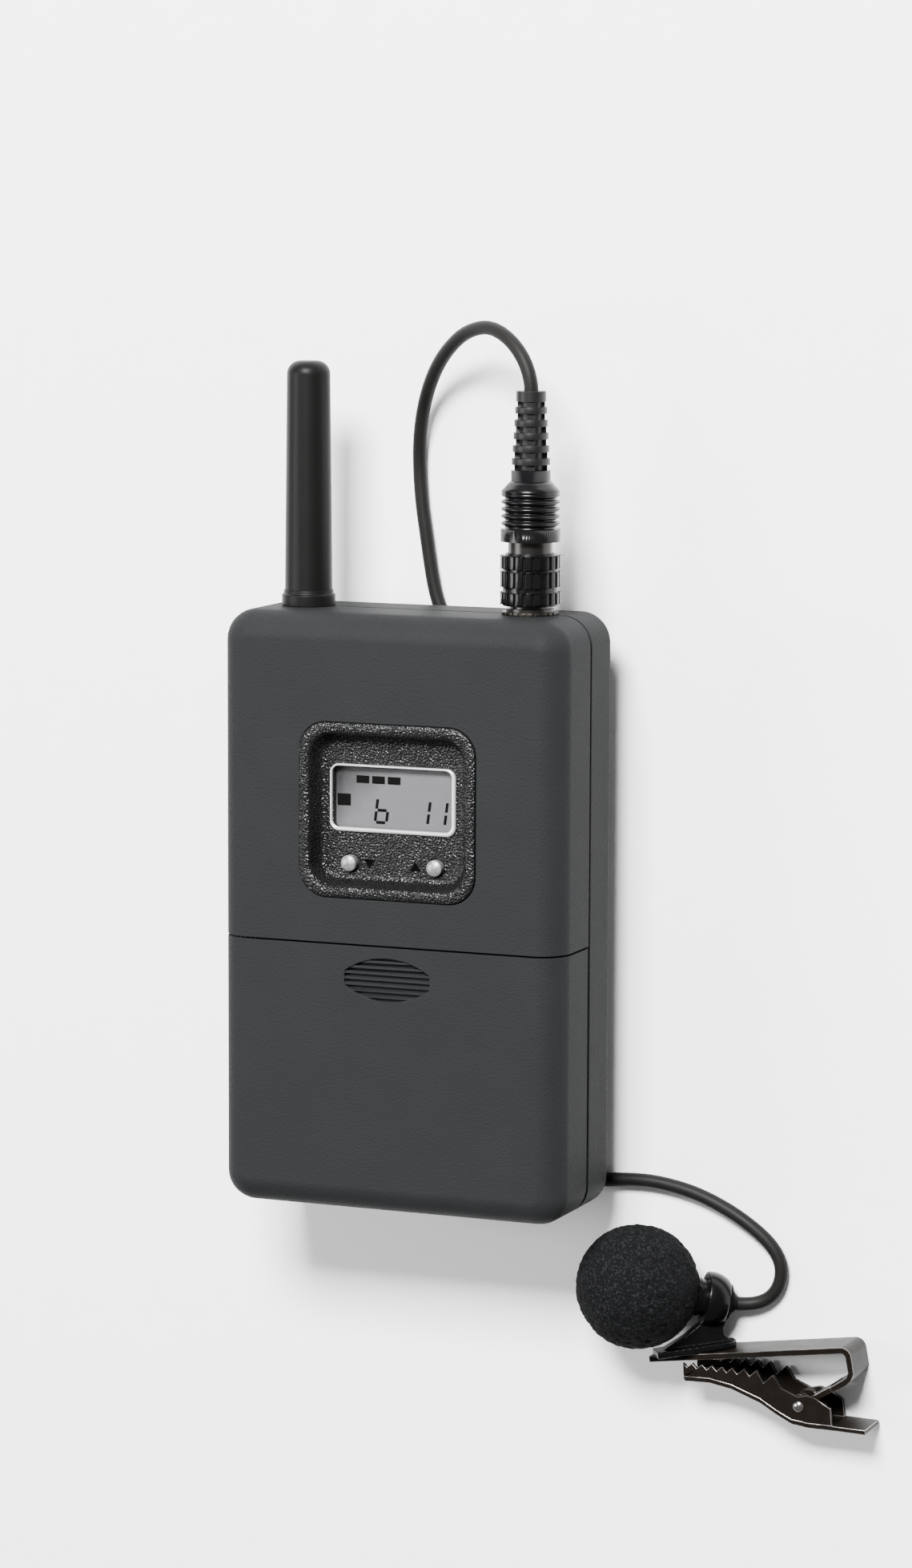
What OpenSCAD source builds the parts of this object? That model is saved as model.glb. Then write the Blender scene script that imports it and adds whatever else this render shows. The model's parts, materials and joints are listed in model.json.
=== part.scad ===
// Wireless body-pack transmitter with its clip-on lavalier microphone, laid flat on a table.
// +Z is up, +Y points from the battery end to the antenna end, and the pack lies on its belt clip.
// The origin is on the belt clip's flat outer face, under the middle of the pack.

/* [Pack] */
// Width of the pack
body_w = 60; // [58:0.5:64]
// Length of the pack from the battery end to the antenna end
body_l = 98; // [96:0.5:104]
// Depth of the rear shell
rear_depth = 11; // [10.5:0.1:11.5]
// Depth of the front shell and the battery door
front_depth = 13; // [13:0.1:14]
// Wall thickness of the mouldings
wall = 1.8; // [1.6:0.1:2]
// Rounding of the front edges
front_round = 5; // [4:0.5:6]
// Rounding of the rear edges
rear_round = 2.5; // [2:0.1:3]
// Width of the visible seams
seam = 0.3; // [0.25:0.05:0.4]

/* [Display and buttons] */
// Width of the display surround
bezel_w = 30.8; // [30:0.1:32]
// Length of the display surround
bezel_l = 28.6; // [28:0.1:29]
// Width of the display window
window_w = 22; // [21:0.1:23]
// Length of the display window
window_l = 11; // [10.8:0.1:12]
// Diameter of a channel button
button_d = 2.7; // [2.4:0.1:2.8]
// Travel of a channel button
button_travel = 0.3; // [0.2:0.05:0.3]

/* [Antenna and plug] */
// Distance of the antenna and the socket from the middle line
socket_x = 19.5; // [19:0.1:20]
// Length of the rubber antenna sleeve
antenna_l = 37.4; // [34:0.1:42]
// Diameter of the antenna sleeve at its foot
antenna_d = 7.8; // [7.4:0.1:8.2]
// Outer diameter of the plug's locking sleeve
plug_d = 9.65; // [9.4:0.05:10]
// Number of ribs round the locking sleeve
sleeve_ribs = 20; // [16:1:24]

/* [Microphone and clip] */
// Diameter of the foam windscreen
foam_d = 20.6; // [20:0.1:20.6]
// Diameter of the microphone body
mic_d = 6; // [5.8:0.1:6.2]
// Width of the tie clip's strip
clip_w = 8.3; // [8:0.1:8.3]
// Thickness of the tie clip's strip
clip_t = 1; // [0.8:0.1:1]
// Diameter of the microphone cord
cord_d = 2.3; // [2.1:0.1:2.4]

/* [Hidden] */
$fn = 48;
CLEAR = 0.05;
TINY = 0.01;
ROUND_FN = 32;
ARC_STEPS = 10;

// Heights of the pack above the table
lift = 8;
split_z = lift + rear_depth;
front_z = split_z + front_depth;
corner_r = 5;
door_y = -4.5;
half_w = body_w / 2;
half_l = body_l / 2;
in_w = half_w - wall;
in_l = half_l - wall;
socket_z = split_z;

// Circuit board
board_w = 44;
board_l = 39;
board_y = 17.5;
board_z = 22;
board_t = 1.6;
board_top = board_z + board_t;
board_screw_x = 19.5;
board_screw_y = [1, 34];
case_screw_x = 25.75;
case_screw_y = [1, 43.4];
post_r = 2.2;

// Display
bezel_y = 17.25;
bezel_r = 4.7;
bezel_top = front_z + 0.4;
bezel_floor = 29.4;
bezel_base = 28.3;
window_y = 19.05;
button_x = 7.5;
button_y = 8.4;
button_base = bezel_base - 1.2 - button_travel;
button_top = 30.7;
grip_y = -10.1;
grip_w = 15;
grip_l = 7.1;
grip_ribs = 7;

// Battery tray and cells
cell_r = 7.15;
cell_l = 49.5;
cell_y = [-18, -34];
cell_z = 18.4;
tray_x = 27;
tray_t = 0.8;
tray_y = [-46.4, -7];
tray_z = [10, 22.3];

// Power switch on the left side
switch_y = 29;
switch_z = 14.5;
switch_travel = 4;

// Belt clip
belt_w = 18;
belt_t = 1;
belt_top_y = 31;
belt_flat_y = -2;
belt_screw_y = [12, 26];

// Socket, plug and antenna along Y, measured from the pack's end face
jack_r = 3.9;
jack_bore_r = 3.3;
sleeve_y = half_l + 0.85;
sleeve_l = 9.05;
sleeve_travel = 1.6;
shell_y = sleeve_y + sleeve_l + sleeve_travel + 0.3;
boot_y = shell_y + 11.4;
boot_l = 12.7;
boot_rings = 5;

// Tie clip frame: its origin is on the swivel's axis, on top of the strip and in the strip's middle
clip_at = [48.2, -72.5, 4.15];
clip_turn = 8;
mic_swing = 30;
mic_tip = 18;
ring_v = 8.1;
foam_off = 13.2;
ring_r = 4.5;
ring_l = 3.8;
pin_at = [13.5, -9.5];
pin_r = 0.75;
jaw_half_w = 3.75;
jaw_wall = 0.75;

// Hank of spare cord under the battery end
hank_at = [-2.8, -34.6];
hank_run = 30;
hank_rings = 4;
hank_inner_r = 4.8;
hank_layers = 2;
hank_z = 0.5;
hank_r = hank_inner_r + (hank_rings - 0.5) * cord_d;
hank_h = hank_layers * cord_d;
tie_w = 4.4;
tie_t = 0.4;

// Route of the cord from the plug's boot to the hank
loop_route = [
    [19.5, 84.9, 19], [19.4, 86.5, 19], [18.6, 89, 18.8], [17, 91.2, 18.1], [14.7, 93.2, 16.9],
    [11.5, 94.6, 15.1], [8, 94.6, 13.1], [4.8, 93.6, 11.2], [1.7, 91.5, 9.3], [-1, 88.9, 7.5],
    [-3.4, 85.6, 5.6], [-5.3, 81.8, 3.8], [-6.6, 77.6, 2.4], [-7.2, 73.4, 1.5], [-7.2, 69, 1.15],
    [-6.8, 64.5, 1.15], [-6.1, 60, 1.15], [-5.5, 56, 1.15], [-4.8, 52, 1.15], [-3.9, 48.2, 1.15],
    [-1.9, 44.8, 1.15], [1, 42.2, 1.15], [4.8, 40.1, 1.15], [8.6, 37.8, 1.15], [11.7, 34.6, 1.15],
    [13.3, 30.4, 1.15], [13.6, 25, 1.15], [13.6, 20, 1.15], [13.6, 14, 1.15], [13.6, 6, 1.15],
    [13.6, -2, 1.15], [13.6, -8.6, 1.15], [13.2, -13.6, 1.2], [11.3, -17.9, 1.35], [7.8, -20.2, 1.5],
    [4, -20.6, 1.6], [0, -21.1, 1.65], [-3.5, -21.8, 1.65], [-7, -22.5, 1.65], [-11, -22.9, 1.65]
];

// Route of the cord from the hank to the microphone
tail_route = [
    [-13, -46.3, 3.95], [-9, -46.7, 3.95], [-5, -47.5, 3.95], [-1, -48.2, 3.95], [3, -48.5, 3.9],
    [7.5, -48.5, 3.7], [12, -48.3, 3.2], [16.5, -47.9, 2.5], [21, -47.3, 1.8], [25.5, -46.7, 1.3],
    [30, -46.3, 1.15], [34.5, -46.2, 1.15], [39, -46.8, 1.15], [43, -47.8, 1.15],
    [47, -49.4, 1.15], [50.6, -51.3, 1.15], [53.6, -53.3, 1.15], [55.8, -55.3, 1.15],
    [57.1, -57.3, 1.15], [57.6, -59.3, 1.15], [57.3, -61.4, 1.15], [56.4, -63.2, 1.15],
    [54.9, -64.5, 1.2], [53, -65.2, 1.5], [51.3, -65.3, 2], [49.99, -65.13, 2.53]
];

// ---------- shared shapes ----------

// A block with rounded upright corners, standing on z = 0 and centred on the origin
module round_block(w, l, r, h) {
    translate([-w / 2 + r, -l / 2, 0]) cube([w - 2 * r, l, h]);
    translate([-w / 2, -l / 2 + r, 0]) cube([w, l - 2 * r, h]);
    for (x = [-1, 1], y = [-1, 1]) {
        translate([x * (w / 2 - r), y * (l / 2 - r), 0]) cylinder(r = r, h = h);
    }
}

// A cylinder along +Y that starts at y
module rod_y(x, y, z, r, l) {
    translate([x, y, z]) rotate([-90, 0, 0]) cylinder(r = r, h = l);
}

// A screw that is driven upwards, with its head's lower face at z
module screw_up(x, y, z, head_r, head_h, shank_r, shank_l) {
    difference() {
        union() {
            translate([x, y, z]) cylinder(r = head_r, h = head_h);
            translate([x, y, z + head_h - TINY]) cylinder(r = shank_r, h = shank_l + TINY);
        }
        for (turn = [0, 90]) {
            translate([x, y, z]) rotate([0, 0, turn]) cube([head_r * 1.2, 0.4, head_h], center = true);
        }
    }
}

// A direction of length one
function unit(v) = v / norm(v);

// Eight-sided tube along a list of points
module tube(points, d, sides = 8) {
    last = len(points) - 1;
    tangents = [for (i = [0:last]) unit(points[min(i + 1, last)] - points[max(i - 1, 0)])];
    rings = [for (i = [0:last])
        let (side = unit(cross(tangents[i], [0, 0, 1])), up = cross(side, tangents[i]))
        for (k = [0:sides - 1])
            points[i] + d / 2 * (side * cos(360 * k / sides) + up * sin(360 * k / sides))];
    walls = [for (i = [0:last - 1], k = [0:sides - 1])
        let (a = i * sides + k, b = i * sides + (k + 1) % sides)
        [a, b, b + sides, a + sides]];
    start_cap = [for (k = [sides - 1:-1:0]) k];
    end_cap = [for (k = [0:sides - 1]) last * sides + k];
    polyhedron(points = rings, faces = concat([start_cap, end_cap], walls), convexity = 6);
}

// Points of a coil spring round the X axis
function coil_points(turns, steps, pitch, r0, r1) = [for (i = [0:turns * steps])
    let (a = 360 * i / steps, r = r0 + (r1 - r0) * i / (turns * steps))
    [pitch * i / steps, r * cos(a), r * sin(a)]];

// Wire along a coil round the X axis, each ring facing along the wire
module coil_wire(points, d, sides = 6) {
    last = len(points) - 1;
    rings = [for (i = [0:last])
        let (out = unit([0, points[i][1], points[i][2]]))
        for (k = [0:sides - 1])
            points[i] + d / 2 * (out * cos(360 * k / sides) + [sin(360 * k / sides), 0, 0])];
    walls = [for (i = [0:last - 1], k = [0:sides - 1])
        let (a = i * sides + k, b = i * sides + (k + 1) % sides)
        [a, a + sides, b + sides, b]];
    start_cap = [for (k = [0:sides - 1]) k];
    end_cap = [for (k = [sides - 1:-1:0]) last * sides + k];
    polyhedron(points = rings, faces = concat([start_cap, end_cap], walls), convexity = 10);
}

// Points of an arc in the plane, from one angle to another
function arc(centre, r, from, to) = [for (i = [0:ARC_STEPS])
    let (a = from + (to - from) * i / ARC_STEPS) centre + r * [cos(a), sin(a)]];

// The left-hand normal of a sheet's middle line at one of its points, stretched to mitre the corner
function mitre(line, i) =
    let (last = len(line) - 1, before = unit(line[max(i, 1)] - line[max(i, 1) - 1]),
         after = unit(line[min(i, last - 1) + 1] - line[min(i, last - 1)]),
         n0 = [-before[1], before[0]], n1 = [-after[1], after[0]])
    (n0 + n1) / (1 + n0 * n1);

// Outline of bent sheet of thickness t round its middle line
module sheet_outline(line, t) {
    last = len(line) - 1;
    left = [for (i = [0:last]) line[i] + mitre(line, i) * t / 2];
    right = [for (i = [last:-1:0]) line[i] - mitre(line, i) * t / 2];
    polygon(concat(left, right));
}

// Puts a shape drawn in the tie clip's frame where the clip lies
module clip_frame() {
    translate(clip_at) rotate([0, 0, clip_turn]) children();
}

// Puts a shape drawn along +X, from the ring's centre towards the foam ball, into the clip frame
module mic_frame() {
    clip_frame() translate([0, ring_v, 0]) rotate([0, mic_swing, 0]) rotate([0, 0, 180 - mic_tip])
        children();
}

// ---------- shells ----------

// Outer form of both front mouldings
module front_form() {
    hull() {
        for (x = [-1, 1], y = [-1, 1]) {
            translate([x * (half_w - front_round), y * (half_l - front_round), 0]) {
                translate([0, 0, front_z - front_round]) sphere(r = front_round, $fn = ROUND_FN);
                translate([0, 0, split_z]) cylinder(r = front_round, h = 1, $fn = ROUND_FN);
            }
        }
    }
}

// Inner form of both front mouldings
module front_hollow() {
    inner_r = front_round - wall;
    hull() {
        for (x = [-1, 1], y = [-1, 1]) {
            translate([x * (in_w - inner_r), y * (in_l - inner_r), 0]) {
                translate([0, 0, front_z - wall - inner_r]) sphere(r = inner_r, $fn = ROUND_FN);
                translate([0, 0, split_z - 1]) cylinder(r = inner_r, h = 1, $fn = ROUND_FN);
            }
        }
    }
}

// Round openings for the antenna and the microphone socket in the antenna end
module end_openings() {
    rod_y(-socket_x, in_l - 2, socket_z, 3 + CLEAR, 6);
    rod_y(socket_x, in_l - 2, socket_z, jack_r + CLEAR, 6);
}

module rear_form() {
    hull() {
        for (x = [-1, 1], y = [-1, 1]) {
            translate([x * (half_w - corner_r), y * (half_l - corner_r), lift]) {
                translate([0, 0, rear_round]) cylinder(r = corner_r, h = rear_depth - rear_round);
                rotate_extrude() {
                    translate([corner_r - rear_round, rear_round]) circle(r = rear_round, $fn = ROUND_FN);
                }
            }
        }
    }
}

module rear_case() {
    color([0.10, 0.11, 0.11]) {
        difference() {
            rear_form();
            translate([0, 0, lift + wall]) round_block(2 * in_w, 2 * in_l, corner_r - wall, rear_depth);
            difference() {
                translate([0, 0, split_z - seam]) cube([body_w + 1, body_l + 1, 2 * seam], center = true);
                translate([0, 0, split_z - 4 * seam])
                    round_block(body_w - 2 * seam, body_l - 2 * seam, corner_r - seam, 8 * seam);
            }
            end_openings();
            translate([-half_w - 1, switch_y - 5, switch_z - 1.6]) cube([wall + 2, switch_travel + 6, 3.2]);
            for (x = [-1, 1], y = case_screw_y) {
                translate([x * case_screw_x, y, lift - 1]) cylinder(r = 1.9, h = 2.2);
                translate([x * case_screw_x, y, lift]) cylinder(r = 1.15, h = rear_depth);
            }
            for (y = belt_screw_y) {
                translate([0, y, lift - 1]) cylinder(r = 1.1, h = wall + 2);
            }
        }
        for (x = [-1, 1], y = case_screw_y) {
            difference() {
                translate([x * case_screw_x, y, lift + wall - TINY])
                    cylinder(r = post_r, h = rear_depth - wall + TINY);
                translate([x * case_screw_x, y, lift]) cylinder(r = 1.15, h = rear_depth + 1);
            }
        }
        for (x = [-1, 1], y = board_screw_y) {
            difference() {
                translate([x * board_screw_x, y, lift + wall - TINY])
                    cylinder(r = post_r, h = board_z - lift - wall + TINY);
                translate([x * board_screw_x, y, board_z - 6]) cylinder(r = 0.85, h = 7);
            }
        }
    }
}

module front_case() {
    color([0.13, 0.14, 0.15]) {
        difference() {
            front_form();
            front_hollow();
            translate([-body_w, -body_l, 0]) cube([2 * body_w, body_l + door_y, 2 * front_z]);
            translate([0, bezel_y, front_z - wall - 1])
                round_block(bezel_w + 2 * CLEAR, bezel_l + 2 * CLEAR, bezel_r, wall + 2);
            end_openings();
        }
        for (x = [-1, 1], y = case_screw_y) {
            difference() {
                translate([x * case_screw_x, y, split_z + CLEAR])
                    cylinder(r = post_r, h = front_depth - wall);
                translate([x * case_screw_x, y, split_z - 1]) cylinder(r = 0.85, h = 7);
            }
        }
    }
}

// Ridged oval thumb grip, sunk into the battery door
module grip_dish(depth) {
    bow_r = 13;
    bow_y = bow_r - grip_l / 2;
    translate([0, grip_y, front_z - depth]) {
        intersection() {
            cylinder(r = grip_w / 2, h = depth + 1);
            translate([0, -bow_y, 0]) cylinder(r = bow_r, h = depth + 1);
            translate([0, bow_y, 0]) cylinder(r = bow_r, h = depth + 1);
        }
    }
}

module battery_door() {
    ledge_z = split_z + 1.2;
    color([0.12, 0.13, 0.14]) {
        difference() {
            front_form();
            front_hollow();
            translate([-body_w, door_y - seam, 0]) cube([2 * body_w, body_l, 2 * front_z]);
            translate([-body_w, -body_l, split_z - 1]) cube([2 * body_w, 2 * body_l, 1 + seam]);
            difference() {
                grip_dish(0.9);
                for (i = [0:grip_ribs - 1]) {
                    translate([-grip_w / 2, grip_y + (i - (grip_ribs - 1) / 2) * 0.95 - 0.22, front_z - 1])
                        cube([grip_w, 0.44, 0.75]);
                }
            }
        }
        for (side = [-1, 1]) {
            translate([side * (in_w - 0.35) - 0.45, -43, ledge_z]) cube([0.9, 35, 1]);
        }
    }
}

// ---------- display and electronics ----------

module display_bezel() {
    rim = 2.1;
    color([0.06, 0.06, 0.07]) {
        difference() {
            union() {
                translate([0, bezel_y, bezel_base])
                    round_block(bezel_w, bezel_l, bezel_r, bezel_top - bezel_base);
                translate([0, bezel_y, bezel_base])
                    round_block(bezel_w + 2, bezel_l + 2, bezel_r, front_z - wall - bezel_base - CLEAR);
            }
            translate([0, bezel_y, bezel_floor])
                round_block(bezel_w - 2 * rim, bezel_l - 2 * rim, bezel_r - 1.5, 6);
            translate([0, window_y, bezel_base - 1]) round_block(window_w - 1, window_l - 1, 1, 4);
            for (x = [-1, 1]) {
                translate([x * button_x, button_y, bezel_base - 1]) cylinder(r = button_d / 2 + 0.15, h = 4);
            }
        }
    }
}

module display_frame() {
    color([0.80, 0.81, 0.83]) {
        translate([0, window_y, bezel_floor]) {
            difference() {
                round_block(window_w, window_l, 1.5, 0.5);
                translate([0, 0, -1]) round_block(window_w - 1, window_l - 1, 1.1, 3);
            }
        }
    }
}

module display_window() {
    color([0.75, 0.78, 0.78, 0.35]) {
        translate([0, window_y, bezel_base + 0.3])
            round_block(window_w - 1.2, window_l - 1.2, 1, bezel_floor - bezel_base);
    }
}

module display_panel() {
    color([0.45, 0.46, 0.47]) {
        translate([0, window_y, bezel_base - 1.2]) round_block(23.4, 13.2, 0.4, 1.1);
    }
}

module display_holder() {
    color([0.85, 0.85, 0.82]) {
        translate([0, window_y, board_top]) {
            difference() {
                round_block(25, 14.6, 0.6, bezel_base - 1.2 - board_top);
                translate([0, 0, 0.8]) round_block(22.4, 12, 0.4, 5);
            }
        }
    }
}

module circuit_board() {
    color([0.08, 0.30, 0.16]) {
        difference() {
            translate([-board_w / 2, board_y - board_l / 2, board_z]) cube([board_w, board_l, board_t]);
            for (x = [-1, 1], y = board_screw_y) {
                translate([x * board_screw_x, y, board_z - 1]) cylinder(r = 1.1, h = 4);
            }
        }
    }
}

module tact_switches() {
    color([0.15, 0.15, 0.15]) {
        for (x = [-1, 1]) {
            translate([x * button_x - 2.3, button_y - 2.3, board_top]) cube([4.6, 4.6, 2.1]);
            translate([x * button_x, button_y, board_top + 2]) cylinder(r = 0.9, h = 0.8);
        }
    }
}

module shield_can() {
    color([0.72, 0.73, 0.74]) {
        difference() {
            translate([-3, 17, board_z - 3.2]) cube([19, 17, 3.2]);
            translate([-2.7, 17.3, board_z - 2.9]) cube([18.4, 16.4, 3.5]);
        }
    }
}

module board_chips() {
    color([0.07, 0.07, 0.08]) {
        translate([-15, 8, board_z - 1.2]) cube([9, 9, 1.2]);
        translate([-14, 21, board_z - 1]) cube([6, 5, 1]);
        translate([2, 4, board_z - 1]) cube([5, 6, 1]);
        translate([12, 5, board_z - 2.4]) cube([4, 6, 2.4]);
    }
}

module channel_button(x) {
    dome_r = 2.3;
    color([0.80, 0.80, 0.82]) {
        translate([x, button_y, 0]) {
            rotate_extrude() {
                difference() {
                    union() {
                        translate([0, button_base]) square([button_d / 2 + 0.6, 0.8]);
                        intersection() {
                            translate([0, button_base]) square([button_d / 2, button_top - button_base]);
                            translate([0, button_top - dome_r]) circle(r = dome_r);
                        }
                    }
                    translate([-5, button_base - 1]) square([5, 8]);
                }
            }
        }
    }
}

module channel_up_button() {
    channel_button(button_x);
}

module channel_down_button() {
    channel_button(-button_x);
}

module power_switch() {
    color([0.20, 0.20, 0.21]) {
        translate([-in_w + 0.2, switch_y - 6, switch_z - 2.4]) {
            difference() {
                cube([4, 12, 4.8]);
                translate([-1, 2.2, 1.4]) cube([2.4, switch_travel + 3.6, 2]);
            }
        }
    }
}

module power_knob() {
    color([0.05, 0.05, 0.05]) {
        difference() {
            union() {
                translate([-half_w - 0.3, switch_y - 4.4, switch_z - 1.3]) cube([wall + 0.1, 4.4, 2.6]);
                translate([-in_w - 0.4, switch_y - 3, switch_z - 0.6]) cube([1.4, 1.6, 1.2]);
            }
            for (i = [0:3]) {
                translate([-half_w - 0.5, switch_y - 3.9 + i * 1.0, switch_z - 2]) cube([0.5, 0.4, 4]);
            }
        }
    }
}

// ---------- battery compartment ----------

module battery_tray() {
    color([0.09, 0.09, 0.10]) {
        depth = tray_y[1] - tray_y[0];
        height = tray_z[1] - tray_z[0];
        translate([0, (tray_y[0] + tray_y[1]) / 2, tray_z[0]]) {
            difference() {
                union() {
                    round_block(2 * tray_x, depth, 2, height);
                    for (side = [-1, 1]) {
                        translate([side * tray_x - 0.85, -16, height - 0.8]) cube([1.7, 32, 0.8]);
                    }
                }
                translate([0, 0, tray_t]) round_block(2 * (tray_x - tray_t), depth - 2 * tray_t, 1.2, height);
            }
        }
        translate([-20, -26.3, tray_z[0] + tray_t - TINY]) cube([40, 0.6, 5]);
    }
}

module battery_cells() {
    color([0.60, 0.50, 0.20]) {
        for (i = [0, 1]) {
            way = 1 - 2 * i;
            translate([-way * (cell_l / 2 - 0.2), cell_y[i], cell_z]) rotate([0, way * 90, 0]) {
                cylinder(r = cell_r, h = cell_l - 1);
                translate([0, 0, cell_l - 1 - TINY]) cylinder(r = 2.7, h = 1 + TINY);
            }
        }
    }
}

module cell_springs() {
    color([0.75, 0.75, 0.76]) {
        for (i = [0, 1]) {
            way = 1 - 2 * i;
            translate([-way * 25.55, cell_y[i], cell_z]) rotate([0, 0, i * 180])
                coil_wire(coil_points(2, 16, 0.22, 3.6, 1.6), 0.2);
        }
    }
}

module cell_contacts() {
    color([0.78, 0.78, 0.75]) {
        for (side = [-1, 1], y = cell_y) {
            translate([side * 25.9 - 0.2, y - 5.5, cell_z - 5.5]) cube([0.4, 11, 9]);
        }
    }
}

// ---------- antenna ----------

module antenna_sleeve() {
    top_r = antenna_d / 2 - 0.35;
    cap_r = 2.2;
    color([0.07, 0.07, 0.07]) {
        translate([-socket_x, half_l + 2.6, socket_z]) rotate([-90, 0, 0]) {
            difference() {
                union() {
                    cylinder(r1 = antenna_d / 2, r2 = top_r, h = antenna_l - cap_r);
                    translate([0, 0, antenna_l - cap_r]) rotate_extrude() {
                        intersection() {
                            union() {
                                translate([0, -TINY]) square([top_r - cap_r, cap_r + TINY]);
                                translate([top_r - cap_r, 0]) circle(r = cap_r);
                            }
                            translate([0, -TINY]) square([top_r, cap_r + TINY]);
                        }
                    }
                }
                translate([0, 0, -1]) cylinder(r = 2.8, h = antenna_l - 3);
            }
        }
    }
}

module antenna_collar() {
    color([0.08, 0.08, 0.08]) {
        difference() {
            union() {
                rod_y(-socket_x, half_l, socket_z, 4.4, 1.9);
                rod_y(-socket_x, half_l + 1.9 - TINY, socket_z, 4.1, 0.7 + TINY);
            }
            rod_y(-socket_x, half_l - 1, socket_z, 2.5 + CLEAR, 5);
        }
    }
}

module antenna_coil() {
    color([0.72, 0.45, 0.20]) {
        translate([-socket_x, half_l + 5, socket_z]) rotate([0, 0, 90])
            coil_wire(coil_points(11, 12, 2.4, 2.1, 2.1), 0.7);
    }
}

module antenna_stud() {
    color([0.70, 0.68, 0.60]) {
        rod_y(-socket_x, in_l - 5, socket_z, 2.5, wall + 9);
    }
}

module antenna_nut() {
    color([0.72, 0.72, 0.70]) {
        difference() {
            translate([-socket_x, in_l - 2.2, socket_z]) rotate([-90, 0, 0])
                cylinder(r = 4.4, h = 2.1, $fn = 6);
            rod_y(-socket_x, in_l - 4, socket_z, 2.5 + CLEAR, 6);
        }
    }
}

// ---------- socket and plug ----------

module mic_jack_shell() {
    color([0.18, 0.18, 0.19]) {
        difference() {
            union() {
                rod_y(socket_x, half_l - 9, socket_z, jack_r, 10);
                rod_y(socket_x, in_l - 1.25, socket_z, 5.2, 1.2);
            }
            rod_y(socket_x, half_l - 10, socket_z, jack_bore_r, 12);
        }
    }
}

// Centres of the four contacts round the plug's axis
function contact_points() = [for (a = [45:90:315]) [1.5 * cos(a), 1.5 * sin(a)]];

module mic_jack_insert() {
    color([0.12, 0.12, 0.12]) {
        difference() {
            rod_y(socket_x, half_l - 8.8, socket_z, jack_bore_r - CLEAR, 4.7);
            for (p = contact_points()) {
                rod_y(socket_x + p[0], half_l - 7, socket_z + p[1], 0.4 + CLEAR, 5);
            }
        }
    }
}

module mic_jack_nut() {
    teeth = 24;
    color([0.35, 0.35, 0.34]) {
        difference() {
            rod_y(socket_x, half_l, socket_z, 4.6, 0.5);
            rod_y(socket_x, half_l - 1, socket_z, jack_r + CLEAR, 3);
            for (i = [0:teeth - 1]) {
                translate([socket_x, half_l + 0.25, socket_z]) rotate([0, i * 360 / teeth, 0])
                    translate([4.6, 0, 0]) cube([0.5, 1, 0.5], center = true);
            }
        }
    }
}

module plug_nose() {
    color([0.20, 0.20, 0.21]) {
        difference() {
            union() {
                rod_y(socket_x, half_l - 4, socket_z, 3.2, 9);
                rod_y(socket_x, half_l + 4.5, socket_z, 3.6, 8.5);
            }
            rod_y(socket_x, half_l - 5, socket_z, 2.6, 20);
        }
    }
}

module plug_insert() {
    color([0.12, 0.12, 0.12]) {
        difference() {
            rod_y(socket_x, half_l - 3.8, socket_z, 2.6 - CLEAR, 9);
            for (p = contact_points()) {
                rod_y(socket_x + p[0], half_l - 5, socket_z + p[1], 0.4 + CLEAR, 12);
            }
        }
    }
}

module plug_pins() {
    color([0.80, 0.68, 0.32]) {
        for (p = contact_points()) {
            rod_y(socket_x + p[0], half_l - 5.5, socket_z + p[1], 0.4, 12.2);
        }
    }
}

module lock_sleeve() {
    band_y = [0.9, 3.65, 6.6];
    band_l = [1.9, 2.5, 2.1];
    rib_depth = 0.35;
    outer_r = plug_d / 2;
    color([0.06, 0.06, 0.06]) {
        difference() {
            union() {
                rod_y(socket_x, sleeve_y + 0.6, socket_z, outer_r - rib_depth, sleeve_l - 0.9);
                rod_y(socket_x, sleeve_y, socket_z, outer_r - 0.8, sleeve_l);
                for (i = [0:2]) {
                    rod_y(socket_x, sleeve_y + band_y[i], socket_z, outer_r, band_l[i]);
                }
            }
            rod_y(socket_x, sleeve_y - 1, socket_z, 3.75, sleeve_l + 2);
            rod_y(socket_x, sleeve_y - 1, socket_z, 4.25, 2);
            for (i = [0:2], k = [0:sleeve_ribs - 1]) {
                translate([socket_x, sleeve_y + band_y[i] + band_l[i] / 2, socket_z])
                    rotate([0, (k + 0.5) * 360 / sleeve_ribs, 0]) translate([outer_r, 0, 0])
                    cube([2 * rib_depth, band_l[i] + 0.2, 0.6], center = true);
            }
        }
    }
}

module plug_back_shell() {
    ridges = 5;
    pitch = 1.15;
    outer_r = plug_d / 2;
    color([0.05, 0.05, 0.05]) {
        translate([socket_x, shell_y, socket_z]) rotate([-90, 0, 0]) rotate_extrude() {
            difference() {
                union() {
                    square([outer_r, 2]);
                    translate([0, 1.9]) square([outer_r - 0.7, 6]);
                    for (i = [0:ridges - 1]) {
                        translate([0, 2.4 + i * pitch])
                            polygon([[0, 0], [outer_r - 0.7, 0], [outer_r - 0.1, 0.35],
                                     [outer_r - 0.1, 0.65], [outer_r - 0.7, 1], [0, 1]]);
                    }
                    polygon([[0, 7.8], [outer_r - 0.1, 7.8], [outer_r - 0.1, 8.1], [3.3, 9.7], [0, 9.7]]);
                    translate([0, 9.6]) square([3.2, 1.8]);
                }
                translate([-1, -1]) square([1 + 3.6 + CLEAR, 2.3]);
                translate([-1, 1.2]) square([1 + 2.9, 8]);
                translate([-1, 8]) square([1 + 2, 5]);
            }
        }
    }
}

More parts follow.
